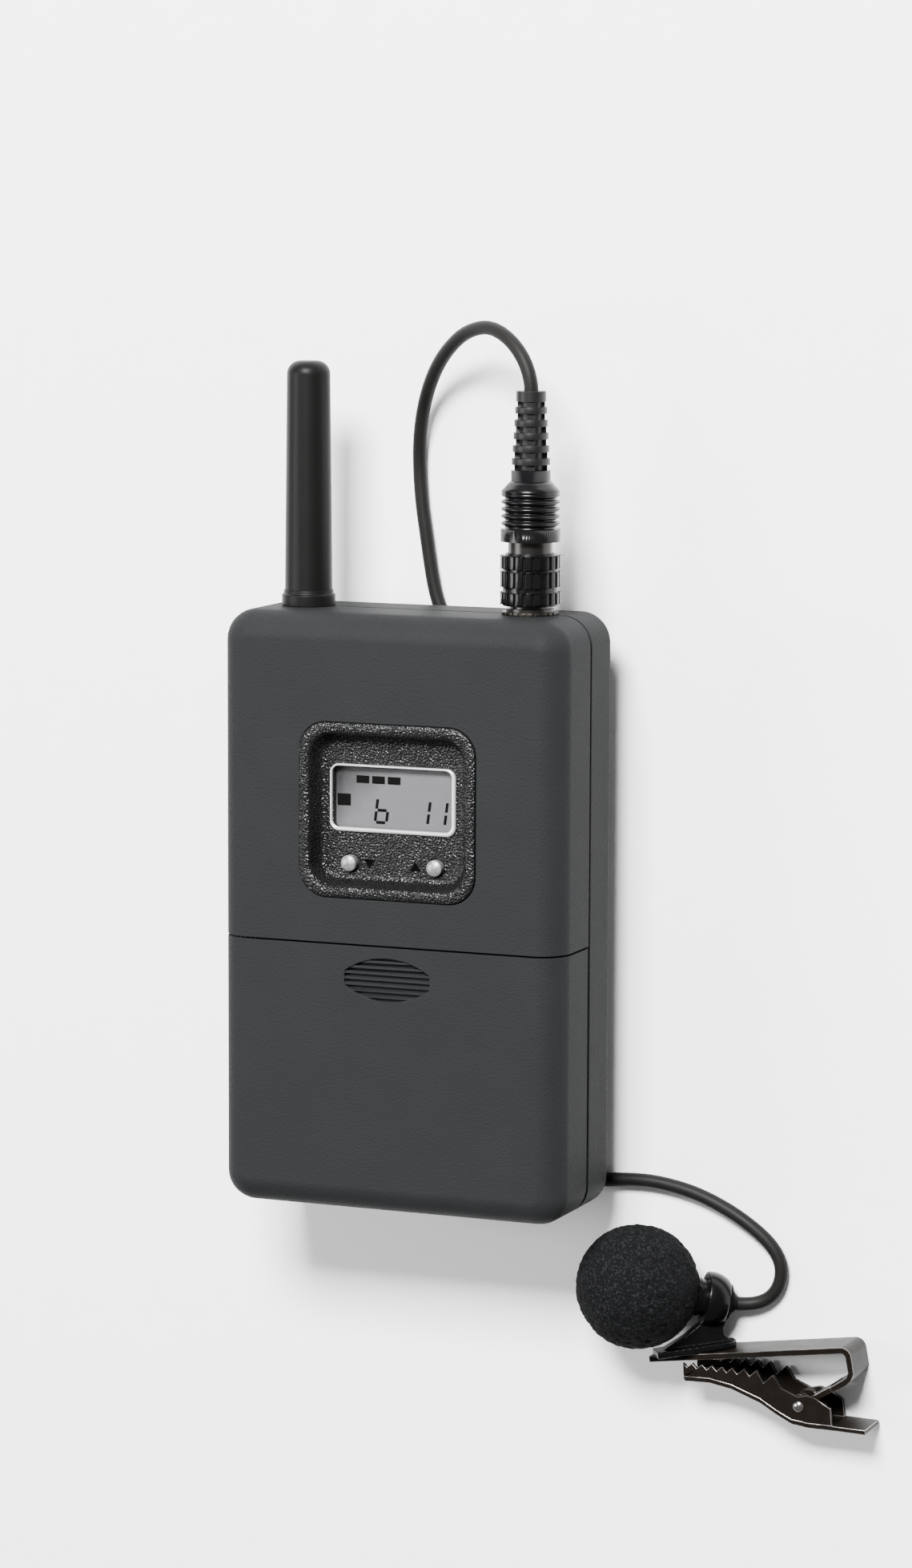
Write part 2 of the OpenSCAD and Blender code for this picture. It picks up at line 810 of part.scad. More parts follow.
module strain_boot() {
    pitch = 2.05;
    ring_h = 1.05;
    spine_w = 1.3;
    spine_turn = 22;
    color([0.06, 0.06, 0.06]) {
        translate([socket_x, boot_y, socket_z]) rotate([-90, 0, 0]) {
            difference() {
                union() {
                    cylinder(r1 = 2, r2 = 1.7, h = boot_l);
                    for (i = [0:boot_rings - 1]) {
                        translate([0, 0, 0.9 + i * pitch]) cylinder(r = 3.08 - 0.13 * i, h = ring_h);
                    }
                    translate([0, 0, boot_l - 1.7]) cylinder(r = 2.4, h = 1.7);
                    for (a = [0:90:270]) {
                        rotate([0, 0, a + spine_turn]) {
                            translate([1, -spine_w / 2, 0]) cube([1.65, spine_w, 3]);
                            translate([1, -spine_w / 2, 0]) cube([1.45, spine_w, 7]);
                            translate([1, -spine_w / 2, 0]) cube([1.2, spine_w, boot_l - 1]);
                        }
                    }
                }
                translate([0, 0, -1]) cylinder(r = cord_d / 2 + CLEAR, h = boot_l + 2);
            }
        }
    }
}

// ---------- cord ----------

module cord_loop() {
    color([0.08, 0.08, 0.08]) {
        tube(loop_route, cord_d);
    }
}

module cord_tail() {
    color([0.08, 0.08, 0.08]) {
        tube(tail_route, cord_d);
    }
}

module cord_hank() {
    color([0.08, 0.08, 0.08]) {
        translate([hank_at[0], hank_at[1], hank_z]) {
            translate([-hank_run / 2, -hank_r, 0]) cube([hank_run, 2 * hank_r, hank_h]);
            for (side = [-1, 1]) {
                translate([side * hank_run / 2, 0, 0]) cylinder(r = hank_r, h = hank_h);
            }
        }
    }
}

module hank_tie() {
    slack = CLEAR + tie_t;
    color([0.05, 0.05, 0.05]) {
        translate([hank_at[0] - hank_run / 2, hank_at[1], hank_z]) {
            difference() {
                translate([0, -hank_r - slack, -slack])
                    cube([tie_w, 2 * (hank_r + slack), hank_h + 2 * slack]);
                translate([-1, -hank_r - CLEAR, -CLEAR])
                    cube([tie_w + 2, 2 * (hank_r + CLEAR), hank_h + 2 * CLEAR]);
            }
        }
    }
}

// ---------- microphone ----------

module along_x(x, r, l) {
    translate([x, 0, 0]) rotate([0, 90, 0]) cylinder(r = r, h = l);
}

module mic_housing() {
    color([0.10, 0.10, 0.11]) {
        mic_frame() difference() {
            union() {
                along_x(-2.4, mic_d / 2, 15);
                along_x(2.8, mic_d / 2 + 0.25, 0.8);
            }
            along_x(0, mic_d / 2 - 0.5, 15);
            along_x(-4, cord_d / 2 + 0.35, 6);
        }
    }
}

module mic_capsule() {
    color([0.70, 0.70, 0.70]) {
        mic_frame() along_x(6.5, mic_d / 2 - 0.5 - CLEAR, 4.2);
    }
}

module mic_grille() {
    color([0.30, 0.30, 0.31]) {
        mic_frame() difference() {
            along_x(12.65, mic_d / 2, 0.8);
            for (a = [0:60:300]) {
                rotate([a, 0, 0]) translate([0, 1.5, 0]) along_x(12, 0.45, 2);
            }
            along_x(12, 0.45, 2);
        }
    }
}

module mic_relief() {
    color([0.06, 0.06, 0.06]) {
        mic_frame() difference() {
            union() {
                along_x(-3.4, 1.55, 0.6);
                along_x(-2.95, 2, 0.5);
                along_x(-2.5, 1.45, 2.4);
            }
            along_x(-5, cord_d / 2 + CLEAR, 6);
        }
    }
}

module windscreen() {
    color([0.05, 0.05, 0.06]) {
        mic_frame() difference() {
            translate([foam_off, 0, 0]) sphere(r = foam_d / 2);
            along_x(0, mic_d / 2 + 0.1, 14.9);
            along_x(0, mic_d / 2 + 0.4, 4);
        }
    }
}

// Outline of the holder's web, from the foot up to the ring: x runs towards the foam
module holder_web() {
    polygon([[-2.2, -1], [-1.3, -3.4], [-0.6, -4.6], [-0.7, -5.9], [-1.6, -6.9], [-2.6, -7.3],
             [10.4, -7.3], [9, -6.5], [6, -5.2], [2.4, -3]]);
}

module mic_holder() {
    foot_h = 1.1;
    color([0.05, 0.05, 0.05]) {
        difference() {
            union() {
                mic_frame() intersection() {
                    along_x(-ring_l / 2, ring_r, ring_l);
                    translate([1, 0, 0]) sphere(r = ring_r);
                }
                clip_frame() rotate([0, mic_swing, 0]) {
                    translate([0, ring_v, 0]) mirror([1, 0, 0]) translate([0, 0, -1.3])
                        linear_extrude(height = 2.6) holder_web();
                    translate([-11, 0.1, -2.6]) cube([11, foot_h, 5.2]);
                    translate([0, 0.1, 0]) rotate([-90, 0, 0]) cylinder(r = 2.6, h = foot_h);
                }
            }
            mic_frame() {
                along_x(-ring_l, mic_d / 2 + CLEAR, 2 * ring_l);
                translate([foam_off, 0, 0]) sphere(r = foam_d / 2 + 0.2);
            }
            clip_frame() translate([0, -1, 0]) rotate([-90, 0, 0]) cylinder(r = 0.95, h = 3.6);
        }
    }
}

// Joins the holder to the clip: its shank stands in the holder and its head is under the strip
module swivel_rivet() {
    color([0.60, 0.60, 0.58]) {
        clip_frame() rotate([-90, 0, 0]) {
            translate([0, 0, -clip_t - 0.6]) cylinder(r = 1.7, h = 0.5);
            translate([0, 0, -clip_t - 0.2]) cylinder(r = 0.9, h = 3.2);
        }
    }
}

// ---------- tie clip ----------

module clip_arm() {
    narrow = 5.2;
    half_t = clip_t / 2;
    bend_r = 1.2;
    corner = [22, -half_t - bend_r];
    elbow = [22.8, -5.3];
    neck = [19.5, -6.95];
    foot = [14.2, -9.3];
    line = concat([[-11.3, -half_t]], arc(corner, bend_r, 90, 0), [[23.3, -4.4], elbow, [21.9, -5.9], neck]);
    color([0.30, 0.29, 0.30]) {
        clip_frame() difference() {
            union() {
                translate([0, 0, -clip_w / 2]) linear_extrude(height = clip_w) sheet_outline(line, clip_t);
                translate([0, 0, -narrow / 2]) linear_extrude(height = narrow)
                    sheet_outline([neck + [0.6, 0.26], foot], clip_t - 2 * TINY);
                translate([pin_at[0], pin_at[1], -narrow / 2]) cylinder(r = 1.75, h = narrow);
            }
            translate([pin_at[0], pin_at[1], -clip_w]) cylinder(r = pin_r + CLEAR, h = 2 * clip_w);
            translate([pin_at[0] - 3, pin_at[1] - 3, -1.3]) cube([5.6, 5.5, 2.6]);
            rotate([-90, 0, 0]) translate([0, 0, -3]) cylinder(r = 0.98, h = 4);
        }
    }
}

module clip_pin() {
    head_z = jaw_half_w + 0.1;
    color([0.75, 0.74, 0.74]) {
        clip_frame() translate([pin_at[0], pin_at[1], 0]) {
            translate([0, 0, -head_z]) cylinder(r = pin_r, h = 2 * head_z);
            for (side = [0, 1]) {
                mirror([0, 0, side]) translate([0, 0, head_z - 0.95]) intersection() {
                    sphere(r = 1.35);
                    translate([0, 0, 0.95]) cylinder(r = 1.1, h = 1);
                }
            }
        }
    }
}

module clip_spring() {
    color([0.65, 0.65, 0.66]) {
        clip_frame() translate([pin_at[0], pin_at[1], -0.85]) rotate([0, -90, 0])
            coil_wire(coil_points(4, 14, 0.42, 1.12, 1.12), 0.36);
    }
}

// Side wall of the toothed jaw: each tooth is [place, top, depth, length of its back], from the tip on
module jaw_side() {
    teeth = [[-5.6, -1.4, 0.8, 0.6], [-4, -1.6, 0.9, 0.65], [-2.3, -1.85, 0.95, 0.7],
             [-0.6, -2.1, 1, 0.7], [1.1, -2.35, 1.05, 0.7], [2.85, -2.6, 1.15, 0.75],
             [4.9, -2.85, 1.3, 0.8], [7.05, -3.2, 2.2, 0.9], [9.8, -4.1, 2.3, 1.2]];
    edge = [for (t = teeth) each [[t[0], t[1]], [t[0] + t[3], t[1] - t[2]]]];
    lug = [[13.6, -7.9], [15.2, -7.75], [16.6, -8.3], [18.9, -10.1], [18.8, -13]];
    below = [[14.7, -12.6], [12, -11.9], [9.5, -10.2], [7, -8.2], [2.3, -5.7], [-1.4, -4.5], [-5.8, -4]];
    polygon(concat(edge, lug, below));
}

module clip_jaw() {
    floor_t = 0.75;
    line = [[-5.7, -3.7], [-1.4, -4.2], [2.3, -5.4], [7, -7.9], [9.5, -9.9], [12, -11.6],
            [14.7, -12.35], [18.7, -12.95], [24.4, -13.9]];
    back = [for (i = [len(line) - 1:-1:0]) line[i] - [0, floor_t]];
    color([0.30, 0.29, 0.30]) {
        clip_frame() difference() {
            union() {
                for (side = [-1, 1]) {
                    translate([0, 0, side * (jaw_half_w - jaw_wall / 2) - jaw_wall / 2])
                        linear_extrude(height = jaw_wall) jaw_side();
                }
                translate([0, 0, -jaw_half_w - TINY])
                    linear_extrude(height = 2 * (jaw_half_w + TINY)) polygon(concat(line, back));
            }
            translate([pin_at[0], pin_at[1], -clip_w]) cylinder(r = pin_r + CLEAR, h = 2 * clip_w);
        }
    }
}

// ---------- belt clip and screws ----------

module belt_clip() {
    half_t = belt_t / 2;
    bend_r = lift / 2;
    line = concat([[4, lift - half_t]], arc([belt_top_y, bend_r], bend_r - half_t, 90, -90),
                  [[belt_flat_y, half_t], [-6.4, 2], [-7.2, 1.9], [-10.8, 0.8]]);
    color([0.12, 0.12, 0.12]) {
        difference() {
            translate([-belt_w / 2, 0, 0]) rotate([90, 0, 90])
                linear_extrude(height = belt_w) sheet_outline(line, belt_t);
            for (y = belt_screw_y) {
                translate([0, y, -1]) cylinder(r = 2.4, h = 3);
                translate([0, y, lift - 2]) cylinder(r = 1.15, h = 4);
            }
        }
    }
}

module belt_clip_screws() {
    color([0.55, 0.55, 0.55]) {
        for (y = belt_screw_y) {
            screw_up(0, y, lift - belt_t - 0.9, 2, 0.9, 1, 4.4);
        }
    }
}

module case_screws() {
    color([0.55, 0.55, 0.55]) {
        for (x = [-1, 1], y = case_screw_y) {
            screw_up(x * case_screw_x, y, lift + 0.15, 1.8, 1, 0.8, 14);
        }
    }
}

module board_screws() {
    color([0.60, 0.60, 0.60]) {
        for (x = [-1, 1], y = board_screw_y) {
            translate([0, 0, 2 * board_top + 1.2]) mirror([0, 0, 1])
                screw_up(x * board_screw_x, y, board_top, 1.8, 1.2, 0.8, 6);
        }
    }
}

rear_case();
front_case();
battery_door();
display_bezel();
display_frame();
display_window();
display_panel();
display_holder();
circuit_board();
tact_switches();
shield_can();
board_chips();
channel_up_button();
channel_down_button();
power_switch();
power_knob();
battery_tray();
battery_cells();
cell_springs();
cell_contacts();
antenna_sleeve();
antenna_collar();
antenna_coil();
antenna_stud();
antenna_nut();
mic_jack_shell();
mic_jack_insert();
mic_jack_nut();
belt_clip();
belt_clip_screws();
case_screws();
board_screws();
plug_nose();
plug_insert();
plug_pins();
plug_back_shell();
strain_boot();
lock_sleeve();
cord_loop();
cord_hank();
hank_tie();
cord_tail();
mic_housing();
mic_capsule();
mic_grille();
mic_relief();
windscreen();
mic_holder();
swivel_rivet();
clip_arm();
clip_pin();
clip_spring();
clip_jaw();
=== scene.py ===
"""Looks of a lavalier microphone and its body-pack transmitter, laid flat on a pale floor."""

import json
import math

import bmesh
import bpy
from mathutils import Matrix, Vector, noise


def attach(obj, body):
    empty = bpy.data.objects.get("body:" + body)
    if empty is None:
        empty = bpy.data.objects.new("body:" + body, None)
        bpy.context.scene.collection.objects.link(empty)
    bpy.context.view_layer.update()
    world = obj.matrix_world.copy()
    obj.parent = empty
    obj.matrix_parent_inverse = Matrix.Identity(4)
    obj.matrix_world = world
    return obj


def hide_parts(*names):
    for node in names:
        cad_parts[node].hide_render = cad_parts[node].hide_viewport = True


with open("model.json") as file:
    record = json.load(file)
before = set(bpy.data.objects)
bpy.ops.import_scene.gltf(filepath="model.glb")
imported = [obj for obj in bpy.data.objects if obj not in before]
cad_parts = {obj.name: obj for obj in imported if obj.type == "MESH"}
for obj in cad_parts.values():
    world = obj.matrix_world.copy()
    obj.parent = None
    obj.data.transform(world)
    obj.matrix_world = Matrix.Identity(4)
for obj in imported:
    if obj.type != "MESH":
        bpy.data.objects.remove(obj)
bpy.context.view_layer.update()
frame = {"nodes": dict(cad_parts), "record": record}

MM = 0.001
SMOOTH_ANGLE = 32  # edges sharper than this stay sharp, in degrees

# Sizes in millimetres, as in the CAD model
FRONT_Z = 32
BEZEL_Y, BEZEL_W, BEZEL_L, BEZEL_R = 17.25, 30.8, 28.6, 4.7
BEZEL_BASE, BEZEL_FLOOR = 28.3, 29.4
WINDOW_Y, WINDOW_W, WINDOW_L = 19.05, 22, 11
PANEL_TOP = 28.2
BUTTON_X, BUTTON_Y, BUTTON_R = 7.5, 8.4, 1.35
CORD_D = 2.3
CORD_STEP = 1.6
HANK_X, HANK_Y, HANK_RUN, HANK_BASE = -2.8, -34.6, 30, 0.5
HANK_RADII = [11.7, 9.4, 7.1, 4.8]
TIE_W, TIE_T = 4.4, 0.4
CLIP_AT, CLIP_TURN = Vector((48.2, -72.5, 4.15)), 8
RING_V, MIC_SWING, MIC_TIP = 8.1, 30, 18
FOAM_R, FOAM_OFF, FOAM_BORE, FOAM_DEPTH = 10.3, 13.2, 3.1, 14.9

LOOP_ROUTE = [
    (19.5, 84.9, 19), (19.4, 86.5, 19), (18.6, 89, 18.8), (17, 91.2, 18.1), (14.7, 93.2, 16.9),
    (11.5, 94.6, 15.1), (8, 94.6, 13.1), (4.8, 93.6, 11.2), (1.7, 91.5, 9.3), (-1, 88.9, 7.5),
    (-3.4, 85.6, 5.6), (-5.3, 81.8, 3.8), (-6.6, 77.6, 2.4), (-7.2, 73.4, 1.5), (-7.2, 69, 1.15),
    (-6.8, 64.5, 1.15), (-6.1, 60, 1.15), (-5.5, 56, 1.15), (-4.8, 52, 1.15), (-3.9, 48.2, 1.15),
    (-1.9, 44.8, 1.15), (1, 42.2, 1.15), (4.8, 40.1, 1.15), (8.6, 37.8, 1.15), (11.7, 34.6, 1.15),
    (13.3, 30.4, 1.15), (13.6, 25, 1.15), (13.6, 20, 1.15), (13.6, 14, 1.15), (13.6, 6, 1.15),
    (13.6, -2, 1.15), (13.6, -8.6, 1.15), (13.2, -13.6, 1.2), (11.3, -17.9, 1.35), (7.8, -20.2, 1.5),
    (4, -20.6, 1.6), (0, -21.1, 1.65), (-3.5, -21.8, 1.65), (-7, -22.5, 1.65), (-11, -22.9, 1.65),
]
TAIL_ROUTE = [
    (-13, -46.3, 3.95), (-9, -46.7, 3.95), (-5, -47.5, 3.95), (-1, -48.2, 3.95), (3, -48.5, 3.9),
    (7.5, -48.5, 3.7), (12, -48.3, 3.2), (16.5, -47.9, 2.5), (21, -47.3, 1.8), (25.5, -46.7, 1.3),
    (30, -46.3, 1.15), (34.5, -46.2, 1.15), (39, -46.8, 1.15), (43, -47.8, 1.15),
    (47, -49.4, 1.15), (50.6, -51.3, 1.15), (53.6, -53.3, 1.15), (55.8, -55.3, 1.15),
    (57.1, -57.3, 1.15), (57.6, -59.3, 1.15), (57.3, -61.4, 1.15), (56.4, -63.2, 1.15),
    (54.9, -64.5, 1.2), (53, -65.2, 1.5), (51.3, -65.3, 2), (49.99, -65.13, 2.53),
]


# ---------- camera, light and floor ----------

LIT_PLACE = Vector((0, 0, 0.02))  # what the lights aim at, in metres


def make_camera():
    """The photograph's view: from above, turned towards the socket side."""
    place = Vector((310.44, 124.94, 760.25)) * MM
    back = Vector((0.37599, 0.12896, 0.91761)).normalized()
    right = Vector((-0.05215, 0.99164, -0.11800)).cross(back).normalized()
    up = back.cross(right)
    data = bpy.data.cameras.new("camera")
    data.sensor_width, data.lens = 36, 113.97
    data.clip_start, data.clip_end = 0.01, 20
    camera = bpy.data.objects.new("camera", data)
    bpy.context.scene.collection.objects.link(camera)
    camera.matrix_world = Matrix.Translation(place) @ Matrix((right, up, back)).transposed().to_4x4()
    bpy.context.scene.camera = camera


def add_light(name, place, size, power):
    """A white panel of light, turned to the middle of the object."""
    data = bpy.data.lights.new(name, "AREA")
    data.shape, data.size, data.size_y = "RECTANGLE", size[0], size[1]
    data.energy = power
    light = bpy.data.objects.new(name, data)
    bpy.context.scene.collection.objects.link(light)
    light.location = place
    light.rotation_euler = (LIT_PLACE - Vector(place)).to_track_quat("-Z", "Y").to_euler()


def make_stage():
    """A white world, two lights and a paper floor just under the model."""
    world = bpy.data.worlds.new("studio")
    bpy.context.scene.world = world
    world.use_nodes = True
    world.node_tree.nodes["Background"].inputs["Color"].default_value = (1, 1, 1, 1)
    world.node_tree.nodes["Background"].inputs["Strength"].default_value = 0.32
    add_light("key", (0.08, 0.72, 1.0), (0.42, 0.32), 82)
    add_light("fill", (-0.88, 0.05, 0.82), (0.35, 0.5), 14)
    mesh = bpy.data.meshes.new("floor")
    side = 2.5
    corners = [(-side, -side, 0), (side, -side, 0), (side, side, 0), (-side, side, 0)]
    mesh.from_pydata(corners, [], [(0, 1, 2, 3)])
    floor = bpy.data.objects.new("floor", mesh)
    bpy.context.scene.collection.objects.link(floor)
    floor.location.z = -0.0002
    paper = surface("floor_paper", (0.95, 0.95, 0.95), 0.8, grain=0.6, depth=0.01, spread=0.01)
    mesh.materials.append(paper)


# ---------- materials ----------

def node_at(tree, kind, **inputs):
    node = tree.nodes.new(kind)
    for name, value in inputs.items():
        node.inputs[name.replace("_", " ")].default_value = value
    return node


def blend_colours(tree, factor, first, second):
    """A colour between two, which are either colours or sockets."""
    mix = tree.nodes.new("ShaderNodeMix")
    mix.data_type = "RGBA"
    tree.links.new(factor, mix.inputs["Factor"])
    for socket, colour in ((mix.inputs[6], first), (mix.inputs[7], second)):
        if isinstance(colour, tuple):
            socket.default_value = (*colour, 1)
        else:
            tree.links.new(colour, socket)
    return mix.outputs[2]


def scaled(tree, value, low, high, to_low=0.0, to_high=1.0):
    """Maps a value's range onto another."""
    node = tree.nodes.new("ShaderNodeMapRange")
    tree.links.new(value, node.inputs["Value"])
    for name, number in (("From Min", low), ("From Max", high), ("To Min", to_low), ("To Max", to_high)):
        node.inputs[name].default_value = number
    return node.outputs["Result"]


def surface(name, colour, roughness, metallic=0.0, grain=0.2, depth=0.01, spread=0.12, patch=6.0,
            coat=0.0, detail=3.0, specular=0.5):
    """A moulded or machined surface: grain and patch are feature sizes, and depth is relief, in mm.
    spread is how far the colour and the roughness wander between patches."""
    material = bpy.data.materials.new(name)
    material.use_nodes = True
    tree = material.node_tree
    shader = tree.nodes["Principled BSDF"]
    shader.inputs["Metallic"].default_value = metallic
    shader.inputs["Coat Weight"].default_value = coat
    shader.inputs["Coat Roughness"].default_value = 0.12
    shader.inputs["Specular IOR Level"].default_value = specular
    where = tree.nodes.new("ShaderNodeTexCoord")
    fine = node_at(tree, "ShaderNodeTexNoise", Scale=1 / (grain * MM), Detail=detail, Roughness=0.6)
    broad = node_at(tree, "ShaderNodeTexNoise", Scale=1 / (patch * MM), Detail=4.0, Roughness=0.55)
    bump = node_at(tree, "ShaderNodeBump", Strength=1.0, Distance=depth * MM)
    for texture in (fine, broad):
        tree.links.new(where.outputs["Object"], texture.inputs["Vector"])
    tree.links.new(fine.outputs["Fac"], bump.inputs["Height"])
    tree.links.new(bump.outputs["Normal"], shader.inputs["Normal"])
    patches = scaled(tree, broad.outputs["Fac"], 0.3, 0.7)
    dark = tuple(c * (1 - spread) for c in colour)
    light = tuple(min(1, c * (1 + spread)) for c in colour)
    tree.links.new(blend_colours(tree, patches, dark, light), shader.inputs["Base Color"])
    wander = roughness * spread * 0.6
    rough = scaled(tree, broad.outputs["Fac"], 0.3, 0.7, roughness - wander, min(1, roughness + wander))
    tree.links.new(rough, shader.inputs["Roughness"])
    return material


def clear_pane(name):
    material = surface(name, (0.02, 0.02, 0.02), 0.06, grain=3, depth=0.001, spread=0.02)
    shader = material.node_tree.nodes["Principled BSDF"]
    shader.inputs["Alpha"].default_value = 0.05
    return material


def display_grey(name):
    """Liquid crystal's grey, darker towards the upper left corner where the frame shades it."""
    material = surface(name, (0.078, 0.078, 0.083), 0.5, grain=0.12, depth=0.002, spread=0.06, patch=2)
    tree = material.node_tree
    shader = tree.nodes["Principled BSDF"]
    where = next(n for n in tree.nodes if n.type == "TEX_COORD")
    along = tree.nodes.new("ShaderNodeVectorMath")
    along.operation = "DOT_PRODUCT"
    tree.links.new(where.outputs["Object"], along.inputs[0])
    slope, inset = 1.1, 0.6
    along.inputs[1].default_value = (1, -slope, 0)
    corner = (-WINDOW_W / 2 + inset - slope * (WINDOW_Y + WINDOW_L / 2 - inset)) * MM
    fade = scaled(tree, along.outputs["Value"], corner + 2.5 * MM, corner + 12 * MM)
    base = shader.inputs["Base Color"].links[0].from_socket
    tree.links.new(blend_colours(tree, fade, (0.008, 0.008, 0.009), base), shader.inputs["Base Color"])
    return material


def banded(name, stops):
    """A printed sleeve whose colour changes along X: stops are (place in mm, colour)."""
    material = surface(name, (0.5, 0.5, 0.5), 0.3, grain=0.4, depth=0.002, coat=0.4)
    tree = material.node_tree
    shader = tree.nodes["Principled BSDF"]
    where = next(n for n in tree.nodes if n.type == "TEX_COORD")
    split = tree.nodes.new("ShaderNodeSeparateXYZ")
    tree.links.new(where.outputs["Object"], split.inputs["Vector"])
    low, high = stops[0][0], stops[-1][0]
    ramp = tree.nodes.new("ShaderNodeValToRGB")
    tree.links.new(scaled(tree, split.outputs["X"], low * MM, high * MM), ramp.inputs["Fac"])
    ramp.color_ramp.interpolation = "CONSTANT"
    while len(ramp.color_ramp.elements) < len(stops):
        ramp.color_ramp.elements.new(0.5)
    for element, (place, colour) in zip(ramp.color_ramp.elements, stops):
        element.position = (place - low) / (high - low)
        element.color = (*colour, 1)
    tree.links.new(ramp.outputs["Color"], shader.inputs["Base Color"])
    return material


def speckled_foam(name):
    """Open-cell foam, matt all over: darker speckles painted in as shade in the pores, between paler cell
    faces.
    """
    material = surface(name, (0.01, 0.01, 0.01), 0.9, grain=0.4, depth=0.2, patch=2.5, detail=1.0,
                       specular=0.05)
    tree = material.node_tree
    shader = tree.nodes["Principled BSDF"]
    where = next(n for n in tree.nodes if n.type == "TEX_COORD")
    cells = node_at(tree, "ShaderNodeTexNoise", Scale=1 / (0.42 * MM), Detail=1.0, Roughness=0.5)
    tree.links.new(where.outputs["Object"], cells.inputs["Vector"])
    # Pores darker than the foam between them: painted shade in the pores.
    painted_pore_shade_mask = scaled(tree, cells.outputs["Fac"], 0.50, 0.72)
    painted_pore_shade_colour = blend_colours(tree, painted_pore_shade_mask, (0.0026, 0.0027, 0.0029), (0.0098, 0.0103, 0.0113))
    tree.links.new(painted_pore_shade_colour, shader.inputs["Base Color"])
    return material


def make_materials():
    case_black = (0.0112, 0.0118, 0.0123)
    return {
        "case": surface("case_plastic", case_black, 0.55, grain=0.38, depth=0.085, spread=0.04, patch=9,
                        detail=1.0, specular=0.025),
        "inside": surface("inside_plastic", (0.006, 0.006, 0.0065), 0.6, grain=0.3, depth=0.004),
        "bezel": surface("sanded_plastic", (0.0046, 0.0046, 0.0049), 0.28, grain=0.33, depth=0.20,
                         spread=0.7, patch=0.3, detail=0.0, specular=0.19),
        "rim": surface("display_rim_paint", (0.58, 0.59, 0.60), 0.32, metallic=0.6, grain=0.2, depth=0.004,
                       spread=0.05),
        "pane": clear_pane("display_pane"),
        "display": display_grey("display_grey"),
        "ink": surface("black_ink", (0.0006, 0.0006, 0.0006), 0.7, grain=0.2, depth=0.002, specular=0.02),
        "button": surface("button_silver", (0.20, 0.20, 0.205), 0.38, metallic=0.6, grain=0.3, depth=0.06,
                          spread=0.3, patch=0.6),
        "antenna": surface("antenna_rubber", (0.0032, 0.0033, 0.0031), 0.44, grain=0.25, depth=0.005,
                           patch=9, spread=0.05, specular=0.08),
        "plug": surface("plug_lacquer", (0.0028, 0.0028, 0.0031), 0.24, grain=0.5, depth=0.002,
                        patch=2, spread=0.03, specular=0.14),
        "nose": surface("plug_nickel", (0.02, 0.019, 0.018), 0.3, metallic=0.8, grain=0.3, depth=0.003),
        "nut": surface("nut_plating", (0.035, 0.032, 0.028), 0.4, metallic=1, grain=0.2, depth=0.004,
                       patch=1),
        "boot": surface("boot_rubber", (0.0050, 0.0049, 0.0048), 0.42, grain=0.2, depth=0.006, patch=2,
                        spread=0.04, specular=0.16),
        "cord": surface("cord_rubber", (0.0058, 0.0055, 0.0053), 0.52, grain=0.3, depth=0.006, patch=5,
                        specular=0.10),
        "foam": speckled_foam("open_foam"),
        "holder": surface("holder_plastic", (0.0016, 0.0016, 0.0016), 0.26, grain=0.5, depth=0.004,
                          patch=3, specular=0.13),
        "clip": surface("clip_plating", (0.0044, 0.0034, 0.0026), 0.38, grain=0.35, depth=0.003,
                        spread=0.15, patch=2.5, specular=0.05),
        # Paler metal for the clip's bevelled edges: a painted highlight.
        "edge_highlight": surface("painted_edge_highlight", (0.15, 0.140, 0.135), 0.28, metallic=1, grain=0.3, depth=0.004,
                        spread=0.3, patch=2.5),
        "steel": surface("bright_steel", (0.30, 0.29, 0.285), 0.2, metallic=1, grain=0.4, depth=0.003,
                         patch=1.5),
        "screw": surface("zinc_plating", (0.20, 0.20, 0.205), 0.35, metallic=1, grain=0.25, depth=0.004),
        "belt": surface("belt_clip_paint", (0.0055, 0.0055, 0.0058), 0.36, grain=0.22, depth=0.012,
                        coat=0.1),
        "board": surface("board_varnish", (0.004, 0.03, 0.012), 0.3, grain=0.8, depth=0.004, coat=0.3),
        "chip": surface("chip_resin", (0.005, 0.005, 0.0055), 0.55, grain=0.2, depth=0.005),
        "tin": surface("tin_plate", (0.30, 0.30, 0.295), 0.3, metallic=1, grain=0.5, depth=0.003),
        "copper": surface("copper_wire", (0.42, 0.19, 0.09), 0.28, metallic=1, grain=0.5, depth=0.002),
        "brass": surface("nickel_brass", (0.34, 0.30, 0.21), 0.3, metallic=1, grain=0.4, depth=0.003),
        "gold": surface("gold_flash", (0.55, 0.37, 0.13), 0.2, metallic=1, grain=0.4, depth=0.002),
        "insulator": surface("insulator", (0.006, 0.006, 0.006), 0.35, grain=0.4, depth=0.003),
        "cell": banded("cell_sleeve", [(-26, (0.30, 0.30, 0.30)), (-24.6, (0.012, 0.03, 0.08)),
                                       (11, (0.20, 0.205, 0.22)), (24.6, (0.30, 0.30, 0.30)),
                                       (26, (0.30, 0.30, 0.30))]),
        "mesh": surface("capsule_metal", (0.25, 0.25, 0.255), 0.35, metallic=1, grain=0.3, depth=0.01),
    }


# ---------- mesh helpers ----------

def new_piece(name, bm, material, body, smooth=30):
    """Turns a bmesh in metres into a piece that rides on a body. Edges past smooth degrees stay sharp."""
    mesh = bpy.data.meshes.new(name)
    bmesh.ops.recalc_face_normals(bm, faces=bm.faces)
    bm.to_mesh(mesh)
    bm.free()
    materials = material if isinstance(material, (list, tuple)) else [material]
    for each in materials:
        mesh.materials.append(each)
    mesh.shade_smooth()
    mesh.set_sharp_from_angle(angle=math.radians(smooth))
    piece = bpy.data.objects.new(name, mesh)
    bpy.context.scene.collection.objects.link(piece)
    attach(piece, body)
    return piece


def body_of(node):
    return next(b for b, nodes in frame["record"]["behaviour"]["bodies"].items() if node in nodes)


